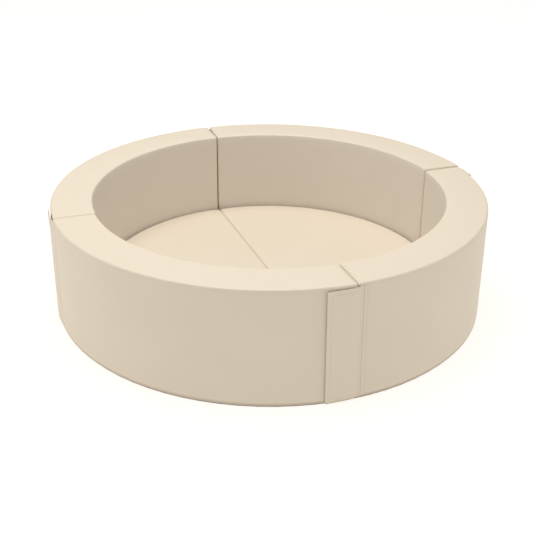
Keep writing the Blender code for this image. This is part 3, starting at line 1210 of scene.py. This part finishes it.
@dataclass
class ClosingFlap:
    """The strip that closes a joint: a sewn margin, a fold and a hemmed free panel."""

    quarter: Quarter
    ring: Ring
    finishes: Finishes
    hang: FlapHang
    settling: Settling
    reach: float = 88 * MM
    root: float = 18 * MM
    margin: float = 15 * MM
    lie: float = 0.3 * MM
    thickness: float = 2.4 * MM
    margin_thickness: float = 1.1 * MM
    edge_round: float = 0.5 * MM
    hem: float = 12.5 * MM
    dent: float = 0.45 * MM
    dent_width: float = 2.2 * MM
    thread_lift: float = 0.1 * MM
    row_step: float = 6 * MM
    margin_row: float = 4 * MM
    margin_row_end: float = 3 * MM
    flare_reach: float = 30 * MM
    flare_foot_share: float = 0.3
    gape_depth: float = 45 * MM
    hook_thickness: float = 1.4 * MM
    hook_width: float = 50 * MM
    loop_thickness: float = 1.2 * MM
    loop_overlap: float = 5 * MM
    bend_start: float = 24 * MM
    bend_end: float = 9 * MM
    ramp_start: float = -22 * MM
    ramp_end: float = 14 * MM
    step: float = 2.5 * MM
    fold_width: float = 1.5 * MM
    fold_depth: float = 0.5 * MM
    # How dark the painted shade is along the fold, at the margin's end and in the stitch dents.
    fold_show: float = 0.8
    end_show: float = 0.5
    dent_show: float = 0.35
    smooth_share: float = 0.4
    tuck: float = 1 * MM
    # Height of the painted contact shadow along the flap's foot.
    foot_shadow_height: float = 2.5 * MM
    stitches: Stitches = Stitches()

    def __post_init__(self) -> None:
        """Read the flap's height and its distance from the wall from the frame."""
        self.title = self.quarter.title
        low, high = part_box(f"{self.title}_flap")
        self.high = high.z + self.hang.lift
        self.low = low.z + self.hang.lift - self.hang.drop
        self.stand = reach_of(f"{self.title}_flap")[1] - self.ring.outer - self.thickness

    def _out(self, along: float, z: float) -> float:
        """Lay the flap's inner face against the wall.

        Args:
            along: Distance from the joint, less than zero in the free panel.
            z: Height.

        Returns:
            How far the face stands out from the ring.
        """
        ramp_start = 2 * self.ramp_start / (1 + self.hang.crispness)
        rise = eased((self.ramp_end - along) / (self.ramp_end - ramp_start))
        edge = eased((self.flare_reach - self.reach - along) / self.flare_reach)
        upper = eased(2 * (z - self.low) / (self.high - self.low) - 1)
        foot = self.flare_foot_share
        flare = self.hang.flare * edge * (foot + (1 - foot) * upper)
        open_top = eased((z - self.high) / self.gape_depth + 1)
        gape = self.hang.gape * open_top * bell(along + self.reach / 2, self.reach / 3)
        tucked = self.tuck * (1 - self.hang.crispness) * eased((along - self.root) / self.margin)
        return self.lie + (self.stand - self.lie) * rise + flare + gape - tucked

    def _thick(self, along: float) -> float:
        """The flap's thickness: two layers in the free panel, one in the margin.

        Args:
            along: Distance from the joint.

        Returns:
            The thickness there.
        """
        rise = eased((self.root - along) * self.hang.crispness / self.step + 0.5)
        smooth = self.smooth_share
        margin = self.margin_thickness * (smooth + (1 - smooth) * self.hang.crispness)
        return margin + (self.thickness - margin) * rise

    def _point(self, along: float, out: float, z: float) -> Vector:
        """A point of the flap, hanging as it was sewn.

        Args:
            along: Distance from the joint on the flat flap.
            out: Distance out from the ring.
            z: Height on the flat flap.

        Returns:
            The point.
        """
        share = (z - self.low) / (self.high - self.low) - 0.5
        tilt = self.hang.tilt * (along + self.reach) / (self.reach + self.root)
        longer = self.hang.longer * min(0.0, along) / self.reach
        place = along + longer - self.hang.lean * share
        return self.ring.outside(self.quarter.start, place, out, z + tilt)

    def panel(self) -> bpy.types.Object:
        """Build the flap with its margin in one, bending at the fold.

        Returns:
            The flap.
        """
        width, height = self.reach + self.root + self.margin, self.high - self.low
        size = (width, self.margin_thickness, height)
        block = RoundedBlock.slab(size, self.edge_round, fine=2, coarse=(96, 1, 150))

        def shape(point: SkinPoint) -> tuple[Vector, float]:
            """Lay the strip over the joint and press its fold and stitch lines in.

            Args:
                point: A point of the flat strip.

            Returns:
                Its place and its share of seam, which darkens it as painted shade.
            """
            along, z = point.place.x - self.reach, point.place.z + self.low
            share = point.place.y / self.margin_thickness
            line = self._stitch_gap(along, z)
            fold = bell(along - self.root - self.step / 2, self.fold_width)
            end = bell(along - self.root - self.margin, self.fold_width)
            sewn = self.fold_depth * self.hang.crispness * fold
            press = self.dent * bell(line, self.dent_width) + sewn
            out = self._out(along, z) + share * (self._thick(along) - press)
            # Painted shade along the fold, the margin's end and the stitch dents, and a painted contact
            # shadow along the foot.
            foot = 1 - eased((point.place.z - self.foot_shadow_height) / self.foot_shadow_height)
            bends = self.hang.crispness * max(self.fold_show * fold, self.end_show * end)
            dent = self.dent_show * bell(line, self.dent_width / 2)
            return self._point(along, out, z), max(bends, dent, foot)

        obj = mesh_object(f"{self.title}_flap_panel", block.build(shape), self.finishes.leather)
        middle = (self.low + self.high) / 2
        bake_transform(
            obj,
            f"{self.title}_segment",
            f"{self.title}_closure",
            start=self._point(self.bend_start, 0, middle),
            end=self._point(self.bend_end, 0, middle),
        )
        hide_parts(f"{self.title}_flap", f"{self.title}_flap_seam")
        wall = f"{Quarter((self.quarter.value + 3) % 4).title}_wall"
        f"{self.title}_wall"
        return obj

    def _stitch_frame(self) -> tuple[float, float, float, float]:
        """Left, right, bottom and top of the free panel's row of stitches."""
        sides = self.hem - self.reach, self.root - self.hem / 2
        return *sides, self.low + self.hem, self.high - self.hem

    def _stitch_gap(self, along: float, z: float) -> float:
        """Measure from a point of the flap to the free panel's row of stitches.

        Args:
            along: Distance from the joint.
            z: Height.

        Returns:
            The distance.
        """
        left, right, bottom, top = self._stitch_frame()
        inside = min(along - left, right - along, z - bottom, top - z)
        if inside > 0:
            return inside
        beyond = (max(left - along, along - right, 0), max(bottom - z, z - top, 0))
        return math.hypot(*beyond)

    def _row(self, corners: list[Span], lift: float) -> list[Vector]:
        """Points along a stitch line on the flap's outer face.

        Args:
            corners: Its corners, each a distance along and a height.
            lift: How far it stands off that face.

        Returns:
            The points.
        """
        points = []
        for (start, foot), (end, head) in zip(corners, corners[1:]):
            steps = max(1, round(math.hypot(end - start, head - foot) / self.row_step))
            for share in (step / steps for step in range(steps + 1)):
                along, z = start + (end - start) * share, foot + (head - foot) * share
                out = self._out(along, z) + self._thick(along) + lift
                points.append(self._point(along, out, z))
        return points

    def stitching(self) -> list[bpy.types.Object]:
        """Sew the free panel's hem, and the margin to the wall.

        Returns:
            The two rows of stitches.
        """
        left, right, bottom, top = self._stitch_frame()
        hem = [(right, bottom), (left, bottom), (left, top), (right, top), (right, bottom)]
        line = self.root + self.margin - self.margin_row
        margin = [(line, self.low + self.margin_row_end), (line, self.high - self.margin_row_end)]
        made = []
        for name, body, corners, lift in (
            ("flap_stitches", "closure", hem, self.thread_lift - self.dent),
            ("margin_stitches", "segment", margin, self.thread_lift),
        ):
            bm = self.stitches.sew(self._row(corners, lift))
            obj = mesh_object(f"{self.title}_{name}", bm, self.finishes.thread)
            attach(obj, f"{self.title}_{body}")
            made.append(obj)
        return made

    def _strip(
        self, span: Span, heights: Span, thickness: float, lay: Callable[..., Vector]
    ) -> bmesh.types.BMesh:
        """Build a flat strip.

        Args:
            span: Where it starts and ends along the wall.
            heights: Its lowest and highest place.
            thickness: Its thickness.
            lay: Lays a distance along, a distance out and a height on the wall or the flap.

        Returns:
            The strip.
        """
        size = (span[1] - span[0], thickness, heights[1] - heights[0])
        block = RoundedBlock.slab(size, thickness / 3, fine=1, coarse=(14, 1, 40))
        start = Vector((span[0], 0, heights[0]))
        return block.build(lambda point: (lay(*(point.place + start)), 0.0))

    def strips(self) -> list[bpy.types.Object]:
        """Build the hooks behind the flap and the loops on this segment's own far end.

        Returns:
            The two strips.
        """
        start, overlap = self.hem - self.reach, self.loop_overlap
        end = start + self.hook_width
        turn = Matrix.Rotation(self.quarter.start, 3, "Z")

        def on_flap(along: float, out: float, z: float) -> Vector:
            """A place behind the flap."""
            behind = self._out(along, z) - self.lie - self.hook_thickness
            return self._point(along, behind + out, z)

        def on_wall(along: float, out: float, z: float) -> Vector:
            """A place on the settled far end of this segment's own wall."""
            place = self.ring.outside(self.ring.turn, along, self.lie + out, z)
            return turn @ (place + self.settling.shift(self.ring, place, 0.0))

        hooks = (start, end), self.hook_thickness, on_flap
        loops = (start - overlap, end + overlap), self.loop_thickness, on_wall
        made = []
        for name, (span, thickness, lay), material, slot, body in (
            ("hook", hooks, self.finishes.hooks, Slot.HOOKS, "closure"),
            ("loop", loops, self.finishes.loops, Slot.LOOPS, "segment"),
        ):
            low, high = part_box(f"{self.title}_{name}_strip")
            bm = self._strip(span, (low.z, high.z), thickness, lay)
            obj = mesh_object(f"{self.title}_{name}_tape", bm, material)
            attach(obj, f"{self.title}_{body}")
            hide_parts(f"{self.title}_{name}_strip")
            made.append(obj)
        return made


def reach_of(node: str) -> tuple[float, float]:
    """Least and greatest distance of a node's corners from the ring's axis."""
    spans = [math.hypot(vert.co.x, vert.co.y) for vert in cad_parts[node].data.vertices]
    return min(spans), max(spans)


@dataclass(frozen=True)
class Rim:
    """A point of the mat's outline seen from above, with the way out from it."""

    place: Vector
    outward: Vector
    straight: float


@dataclass
class MatHalf:
    """One half of the floor mat: a foam core in a sewn cover, open underneath at its zip."""

    half: Half
    radius: float
    edge_height: float
    finishes: Finishes
    split: float = 3 * MM
    corner: float = 18 * MM
    rim_round: float = 9 * MM
    split_round: float = 4.5 * MM
    foot_round: float = 4 * MM
    vinyl: float = 1 * MM
    hem: float = 14 * MM
    level: float = 15 * MM
    crown: float = 2.2 * MM
    crown_reach: float = 45 * MM
    centre_share: float = 0.42
    wave: float = 0.5 * MM
    wave_length: float = 140 * MM
    wave_seeds: Span = (3.1, 8.8)
    pull: float = 1.5 * MM
    pull_reach: float = 45 * MM
    seam_depth: float = 0.7 * MM
    seam_width: float = 0.9 * MM
    foam_inset: float = 2.2 * MM
    held_edge: float = 12 * MM
    swelling: Swelling = Swelling(pressure=2.0, cap=1.7 * MM)
    arc_steps: int = 150
    corner_steps: int = 12
    split_steps: int = 90
    foot_steps: int = 3
    side_steps: int = 7
    round_steps: int = 10
    level_steps: int = 2
    inner_rings: int = 22

    @property
    def title(self) -> str:
        """The half's name."""
        return self.half.title

    @property
    def corner_middle(self) -> Vector:
        """Middle of the rounded corner at +Y, seen from above."""
        x = self.split / 2 + self.corner
        return Vector((x, math.sqrt((self.radius - self.corner) ** 2 - x * x), 0))

    def outline(self) -> list[Rim]:
        """Draw the +X half's outline.

        Returns:
            Its points, against the clock from where the round edge meets the -Y corner.
        """
        middle = self.corner_middle
        swing = math.atan2(middle.y, middle.x)
        rims = []
        for step in range(self.arc_steps):
            angle = swing * (2 * step / self.arc_steps - 1)
            way = Vector((math.cos(angle), math.sin(angle), 0))
            rims.append(Rim(way * self.radius, way, 0.0))
        for side in (1, -1):
            if side < 0:
                for step in range(1, self.split_steps):
                    y = middle.y * (1 - 2 * step / self.split_steps)
                    rims.append(Rim(Vector((self.split / 2, y, 0)), Vector((-1, 0, 0)), 1.0))
            for step in range(self.corner_steps + 1):
                share = step / self.corner_steps
                share = share if side > 0 else 1 - share
                angle = side * (swing + (math.pi - swing) * share)
                way = Vector((math.cos(angle), math.sin(angle), 0))
                centre = Vector((middle.x, side * middle.y, 0))
                rims.append(Rim(centre + way * self.corner, way, eased(share)))
        return rims[:-1]

    def _rows(self, rounding: float, top: float, floor: float, inset: float) -> list[Triple]:
        """The cover's section, from its hem over its side to its level top.

        Args:
            rounding: The rounding of its upper edge.
            top: The height of its level top.
            floor: Its lowest height.
            inset: How far inside the outline it lies.

        Returns:
            Each row's distance in from the outline, its height and its distance to the seam,
            which is FAR_FROM_SEAM away from the upper edge.
        """
        foot = self.foot_round
        rows = [(self.hem, floor, FAR_FROM_SEAM), (2 * foot, floor, FAR_FROM_SEAM)]
        for step in range(self.foot_steps + 1):
            angle = math.pi / 2 * step / self.foot_steps
            height = floor + foot * (1 - math.cos(angle))
            rows.append((foot * (1 - math.sin(angle)), height, FAR_FROM_SEAM))
        low, high = floor + foot, top - rounding
        for step in range(1, self.side_steps):
            rows.append((0.0, low + (high - low) * step / self.side_steps, FAR_FROM_SEAM))
        for step in range(self.round_steps + 1):
            angle = math.pi / 2 * step / self.round_steps
            height = top - rounding * (1 - math.sin(angle))
            seam = rounding * abs(angle - math.pi / 4)
            rows.append((rounding * (1 - math.cos(angle)), height, seam))
        for step in range(1, self.level_steps + 1):
            share = step / self.level_steps
            rows.append((rounding + (self.level - rounding) * share, top, FAR_FROM_SEAM))
        return [(distance + inset, height, seam) for distance, height, seam in rows]

    def _edges(self, place: Vector) -> Span:
        """Distances of a place of the +X half from the round edge and the split."""
        return self.radius - math.hypot(place.x, place.y), place.x - self.split / 2

    def _held(self, place: Vector) -> bool:
        """Find what holds the cover.

        Args:
            place: A place of the +X half.

        Returns:
            Whether the foam's edges hold the cover there.
        """
        low = place.z < self.edge_height / 3
        near = min(self._edges(place)) < self.held_edge
        return low or (near and place.z > self.edge_height / 2)

    def _rise(self, place: Vector) -> float:
        """Crown the top, and pull it down at the corners of the split.

        Args:
            place: A place of the +X half, seen from above.

        Returns:
            How far the top stands above its edge there.
        """
        shares = (max(0.0, edge) / self.crown_reach for edge in self._edges(place))
        inside = math.prod(1 - math.exp(-share) for share in shares)
        corner = Vector((self.split / 2, self.corner_middle.y + self.corner, 0))
        nearest = (Vector((abs(place.x), abs(place.y), 0)) - corner).length
        seed = Vector((0, 0, self.wave_seeds[self.half.value]))
        wave = self.wave * noise.noise(place / self.wave_length + seed)
        return (self.crown + wave) * inside - self.pull * bell(nearest, self.pull_reach)

    def _skin(self, inset: float, floor: float, bottom_open: bool) -> bmesh.types.BMesh:
        """Build the half's skin, inset at its sides and top.

        Args:
            inset: How far inside the cover's outer face it lies.
            floor: Its lowest height.
            bottom_open: Whether the bottom inside the hem is left out.

        Returns:
            The skin of the +X half.
        """
        rims = self.outline()
        top = self.edge_height - inset
        rounds = [
            self.split_round + (self.rim_round - self.split_round) * (1 - rim.straight) for rim in rims
        ]
        sections = [self._rows(rounding, top, floor, inset) for rounding in rounds]
        last_row = len(sections[0]) - 1
        last_ring = last_row + self.inner_rings
        centre = Vector((self.radius * self.centre_share, 0, 0))
        bm = bmesh.new()
        bmesh.ops.create_grid(bm, x_segments=len(rims), y_segments=last_ring, size=1)
        layer = bm.verts.layers.float.new(SEAM_SHADE_LAYER)
        for vert in bm.verts:
            column = round((vert.co.x + 1) / 2 * len(rims)) % len(rims)
            row = round((vert.co.y + 1) / 2 * last_ring)
            distance, height, seam = sections[column][min(row, last_row)]
            rim = rims[column]
            place = rim.place - rim.outward * distance
            if row > last_row:
                place = centre + (place - centre) * (1 - (row - last_row) / self.inner_rings)
            # Seam share in the middle of the upper rounding: it presses the seam in and darkens it as
            # painted shade.
            vert[layer] = bell(seam, self.seam_width)
            lift = self._rise(place) * eased((height - floor) / (top - floor))
            vert.co = Vector((place.x, place.y, height + lift))
        bmesh.ops.remove_doubles(bm, verts=bm.verts, dist=MERGE)
        if not bottom_open:
            bmesh.ops.holes_fill(bm, edges=[edge for edge in bm.edges if edge.is_boundary])
        bm.normal_update()
        bmesh.ops.recalc_face_normals(bm, faces=bm.faces)
        return bm

    def cover(self) -> bpy.types.Object:
        """Returns:
            The cover.
        """
        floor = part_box(f"{self.title}_cover")[0].z
        mesh = mesh_of(f"{self.title}_skin", self._skin(0, floor, True))
        self.swelling.apply(mesh, self._held)
        press_seams(mesh, self.seam_depth)
        bm = bmesh.new()
        bm.from_mesh(mesh)
        obj = self._place(f"{self.title}_pad", bm, self.finishes.leather, Slot.VINYL)
        thicken(obj, self.vinyl)
        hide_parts(f"{self.title}_cover")
        return obj

    def core(self) -> bpy.types.Object:
        """Returns:
            The core.
        """
        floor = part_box(f"{self.title}_foam_core")[0].z
        bm = self._skin(self.foam_inset, floor, False)
        obj = self._place(f"{self.title}_foam", bm, self.finishes.foam, Slot.FOAM)
        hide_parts(f"{self.title}_foam_core")
        return obj

    def _place(
        self, name: str, bm: bmesh.types.BMesh, material: bpy.types.Material, slot: Slot
    ) -> bpy.types.Object:
        """Turn a shape to this half and let it ride on the half's body.

        Args:
            name: The piece's name.
            bm: Its shape on the +X half, which is freed.
            material: Its finish.
            slot: Its slot in the record; not used.

        Returns:
            The piece.
        """
        bmesh.ops.transform(bm, matrix=self.half.turn, verts=bm.verts)
        obj = mesh_object(name, bm, material)
        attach(obj, self.title)
        return obj


@dataclass
class FoldStrip:
    """The strip of leather that joins the two mat covers along their split."""

    radius: float
    edge_height: float
    finishes: Finishes
    half_width: float = 7 * MM
    sag: float = 5.2 * MM
    sag_power: float = 1.4
    thickness: float = 0.9 * MM
    thinning: float = 0.6
    short_of_rim: float = 24 * MM
    bend: float = 8 * MM
    seam_width: float = 1.4 * MM
    seam_depth: float = 0.5 * MM
    seam_shade: float = 0.95
    rest: float = 0.2 * MM

    def strip(self) -> bpy.types.Object:
        """Build the strip, which bends as the mat folds.

        Returns:
            The strip.
        """
        length = 2 * (self.radius - self.short_of_rim)
        size = (2 * self.half_width, length, self.thickness)
        block = RoundedBlock.slab(size, self.thickness / 3, fine=2, coarse=(24, 120, 1))

        def shape(point: SkinPoint) -> tuple[Vector, float]:
            """Sink the strip into the crease between the halves.

            Args:
                point: A point of the flat strip.

            Returns:
                Its place and its share of seam.
            """
            x, y = point.place.x - self.half_width, point.place.y - length / 2
            share = abs(x) / self.half_width
            sunk = self.sag * max(0.0, 1 - share) ** self.sag_power
            base = self.edge_height + self.rest - sunk
            thin = 1 - self.thinning * eased(share)
            # Painted shade along the middle of the strip, deep in the crease; the same share presses a dent
            # in.
            seam = self.seam_shade * bell(x, self.seam_width)
            dent = self.seam_depth * seam * point.place.z / self.thickness
            return Vector((x, y, base + point.place.z * thin - dent)), seam

        obj = mesh_object("mat_fold_strip", block.build(shape), self.finishes.leather)
        left, right = (Vector((side * self.bend, 0, self.edge_height)) for side in (-1, 1))
        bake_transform(obj, "mat_left", "mat_right", start=left, end=right)
        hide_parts("mat_hinge_seam")
        return obj


@dataclass
class Zip:
    """A closed coil zip in the bottom of a cover."""

    title: str
    body: str
    length: float
    track: Callable[[float, float, float], Vector]
    finishes: Finishes
    tape_width: float = 32 * MM
    tape_thickness: float = 0.6 * MM
    chain_width: float = 5 * MM
    chain_thickness: float = 1.5 * MM
    pitch: float = 2.6 * MM
    loop_share: float = 0.42
    tape_floor: float = 1.9 * MM

    def tapes(self) -> bpy.types.Object:
        """Build the two tapes in one piece.

        Returns:
            The tapes.
        """
        size = (self.length, self.tape_width, self.tape_thickness)
        block = RoundedBlock.slab(size, self.tape_thickness / 4, fine=1, coarse=(80, 4, 1))
        start = Vector((0, -self.tape_width / 2, self.tape_floor))
        bm = block.build(lambda point: (self.track(*(point.place + start)), 0.0))
        obj = mesh_object(f"{self.title}_zip_tapes", bm, self.finishes.tape)
        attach(obj, self.body)
        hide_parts(f"{self.title}_zip")
        return obj

    def coil(self) -> bpy.types.Object:
        """Build the coil: loops from the two sides in turn.

        Returns:
            The coil.
        """
        middle = self.tape_floor + self.tape_thickness / 2
        size = (self.pitch * self.loop_share, self.chain_width / 3, self.chain_thickness / 2)
        places = []
        for number in range(int(self.length / self.pitch)):
            at = (number + 0.5) * self.pitch
            shift = self.chain_width / 6 * (1 if number % 2 else -1)
            place = self.track(at, shift, middle)
            along = self.track(at + self.pitch, shift, middle) - place
            places.append(laid_along(place, along, Vector((0, 0, 1)), size))
        bm = beads(places, around=8, rings=4)
        obj = mesh_object(f"{self.title}_zip_coil", bm, self.finishes.tape)
        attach(obj, self.body)
        return obj


@dataclass(frozen=True)
class Softbox:
    """A square softbox: where it hangs round the ring, its width, its watts and its colour."""

    name: str
    angle: float
    radius: float
    height: float
    width: float
    power: float
    colour: Colour = (1.0, 0.94, 0.84)


@dataclass
class Studio:
    """The camera at the photograph's angle, a pale floor and soft light."""

    heading: float = math.radians(-19.84)
    turned: float = math.radians(19.98)
    towards: float = 270.0
    back: float = 3.0666
    height: float = 1.6051
    pitch: float = math.radians(26.2)
    roll: float = math.radians(0.265)
    lens: float = 66.0
    sensor: float = 36.0
    floor_span: float = 60.0
    floor_drop: float = 0.4 * MM
    floor_colour: Colour = (0.25, 0.245, 0.235)
    floor_glow: float = 0.89
    glow_far: Colour = (1.0, 1.0, 1.0)
    glow_near: Colour = (1.0, 0.95, 0.885)
    glow_reach: float = 4.0
    world: float = 0.385
    world_colour: Colour = (1.0, 0.965, 0.90)
    aim_height: float = 0.2
    boxes: tuple[Softbox, ...] = (
        Softbox("top_box", 190, 0.3, 3.6, width=2.6, power=96, colour=(1.0, 0.995, 0.99)),
        Softbox("left_box", 185, 3.2, 1.3, width=1.6, power=9),
        Softbox("right_box", 350, 3.2, 1.3, width=1.6, power=4.5),
    )

    def _around(self, angle: float, radius: float, z: float) -> Vector:
        """A place in the studio, its angle in degrees, 0 to the right and 270 to the camera."""
        turned = math.radians(angle) - self.turned
        return Vector((radius * math.cos(turned), radius * math.sin(turned), z))

    def camera(self) -> None:
        """Set up the camera."""
        data = bpy.data.cameras.new("camera")
        data.lens = self.lens
        data.sensor_width = self.sensor
        obj = bpy.data.objects.new("camera", data)
        bpy.context.scene.collection.objects.link(obj)
        aim = (
            Matrix.Rotation(self.heading, 4, "Z")
            @ Matrix.Rotation(math.pi / 2 - self.pitch, 4, "X")
            @ Matrix.Rotation(self.roll, 4, "Z")
        )
        place = self._around(self.towards, self.back, self.height)
        obj.matrix_world = Matrix.Translation(place) @ aim
        bpy.context.scene.camera = obj

    def floor(self) -> None:
        """Lay the floor."""
        recipe = Recipe("floor_white")
        near = recipe.nodes.new("ShaderNodeTexGradient")
        near.gradient_type = "SPHERICAL"
        recipe.put(near.inputs["Vector"], recipe.stretched((1 / self.glow_reach,) * 3))
        material = recipe.finish(
            base_color=self.floor_colour,
            roughness=0.9,
            specular_ior_level=0.0,
            emission_color=recipe.mixed(near.outputs["Fac"], self.glow_far, self.glow_near),
            emission_strength=self.floor_glow,
        )
        bm = bmesh.new()
        bmesh.ops.create_grid(bm, x_segments=1, y_segments=1, size=self.floor_span / 2)
        bmesh.ops.translate(bm, verts=bm.verts, vec=(0, 0, -self.floor_drop))
        mesh_object("floor", bm, material)

    def sky(self) -> None:
        """Fill the studio with even light."""
        world = bpy.data.worlds.new("studio")
        world.use_nodes = True
        backdrop = world.node_tree.nodes["Background"]
        backdrop.inputs["Color"].default_value = (*self.world_colour, 1.0)
        backdrop.inputs["Strength"].default_value = self.world
        bpy.context.scene.world = world
        bpy.context.scene.view_settings.view_transform = "Standard"

    def hang(self, box: Softbox) -> None:
        """Hang a softbox that faces the middle of the ring.

        Args:
            box: The softbox.
        """
        light = bpy.data.lights.new(box.name, "AREA")
        light.shape = "SQUARE"
        light.size = box.width
        light.energy = box.power
        light.color = box.colour
        obj = bpy.data.objects.new(box.name, light)
        bpy.context.scene.collection.objects.link(obj)
        place = self._around(box.angle, box.radius, box.height)
        aim = (Vector((0, 0, self.aim_height)) - place).to_track_quat("-Z", "Y")
        obj.matrix_world = Matrix.Translation(place) @ aim.to_matrix().to_4x4()
        obj.visible_camera = False

    def build(self) -> None:
        """Set the whole studio up."""
        self.camera()
        self.floor()
        self.sky()
        for box in self.boxes:
            self.hang(box)


class BallPit:
    """The whole ball pit, dressed."""

    mat_crown = 3 * MM
    mat_swell = 3 * MM
    zip_margin = 95.3 * MM

    def __init__(self) -> None:
        """Take the ring's sizes from the frame, and set how each segment and flap sits."""
        outer = reach_of("back_right_cover")[1]
        self.ring = Ring(outer=outer, height=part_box("back_right_cover")[1].z)
        self.finishes = Finishes()
        self.settlings = {
            Quarter.BACK_RIGHT: Settling(
                start_round=3 * MM, lift=3 * MM, parting=2 * MM, splay=9 * MM, seam_show=0.7
            ),
            Quarter.BACK_LEFT: Settling(
                start_round=3 * MM, droop=9 * MM, parting=2 * MM, inset=3 * MM
            ),
            Quarter.FRONT_LEFT: Settling(lift=2 * MM, parting=3 * MM),
            Quarter.FRONT_RIGHT: Settling(lift=1 * MM, droop=2 * MM, seam_show=0.6),
        }
        self.hangs = {
            Quarter.BACK_RIGHT: FlapHang(flare=4 * MM, lift=7 * MM, longer=-12 * MM),
            Quarter.BACK_LEFT: FlapHang(lean=3 * MM),
            Quarter.FRONT_LEFT: FlapHang(
                flare=0.0, gape=2 * MM, lift=7 * MM, longer=13 * MM, crispness=0.06
            ),
            Quarter.FRONT_RIGHT: FlapHang(
                lean=3.5 * MM,
                tilt=3 * MM,
                lift=0.5 * MM,
                drop=1.5 * MM,
                flare=3.2 * MM,
                gape=0.8 * MM,
                longer=2 * MM,
            ),
        }

    def walls(self) -> None:
        """Build the four wall segments."""
        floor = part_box("back_right_cover")[0].z
        skins = {}
        for quarter in Quarter:
            settling = self.settlings[quarter]
            edge = settling.start_round
            if edge not in skins:
                skins[edge] = WallForm(self.ring, floor, edge).skin()
            segment = WallSegment(quarter, self.ring, self.finishes, settling)
            self._report(segment.cover(skins[edge]), segment.core())

    def flaps(self) -> None:
        """Build the four closing flaps."""
        for quarter in Quarter:
            hang, settling = self.hangs[quarter], self.settlings[quarter]
            flap = ClosingFlap(quarter, self.ring, self.finishes, hang, settling)
            self._report(flap.panel(), *flap.stitching(), *flap.strips())

    def mat(self) -> None:
        """Build the floor mat."""
        radius = reach_of("mat_right_cover")[1]
        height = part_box("mat_right_cover")[1].z - self.mat_crown
        for half in Half:
            pad = MatHalf(half, radius + self.mat_swell, height, self.finishes)
            self._report(pad.cover(), pad.core())
        self._report(FoldStrip(radius, height, self.finishes).strip())

    def zips(self) -> None:
        """Build the zips under the segments and under the mat."""
        middle = self.ring.outer - self.ring.depth / 2
        length = middle * self.ring.turn - 2 * self.zip_margin
        for quarter in Quarter:
            first = quarter.start + self.zip_margin / middle

            def bent(along: float, across: float, z: float, first: float = first) -> Vector:
                """A place along a bent zip."""
                angle, radius = first + along / middle, middle + across
                return Vector((radius * math.cos(angle), radius * math.sin(angle), z))

            chain = Zip(quarter.title, f"{quarter.title}_segment", length, bent, self.finishes)
            self._report(chain.tapes(), chain.coil())
        low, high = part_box("mat_right_zip")
        line, start = (low.x + high.x) / 2, low.y
        for half in Half:

            def straight(along: float, across: float, z: float, turn: Matrix = half.turn) -> Vector:
                """A place along a straight zip."""
                return turn @ Vector((line + across, start + along, z))

            chain = Zip(half.title, half.title, high.y - low.y, straight, self.finishes)
            self._report(chain.tapes(), chain.coil())

    def carried_over(self) -> None:
        """Give the CAD nodes that stay their finishes."""
        kept = {"_base_panel": self.finishes.base, "_zip_slider": self.finishes.metal}
        for name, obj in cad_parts.items():
            for ending, material in kept.items():
                if name.endswith(ending):
                    obj.data.materials.clear()
                    obj.data.materials.append(material)

    def build(self) -> None:
        """Build every piece."""
        self.walls()
        self.flaps()
        self.mat()
        self.zips()
        self.carried_over()

    @staticmethod
    def _report(*pieces: bpy.types.Object) -> None:
        """Log what was built."""
        for piece in pieces:
            log.info("%s: %d faces", piece.name, len(piece.data.polygons))


def main() -> None:
    """Build the studio and the ball pit."""
    logging.basicConfig(level=logging.INFO, format="%(name)s: %(message)s")
    Studio().build()
    BallPit().build()


if __name__ == "__main__":
    main()
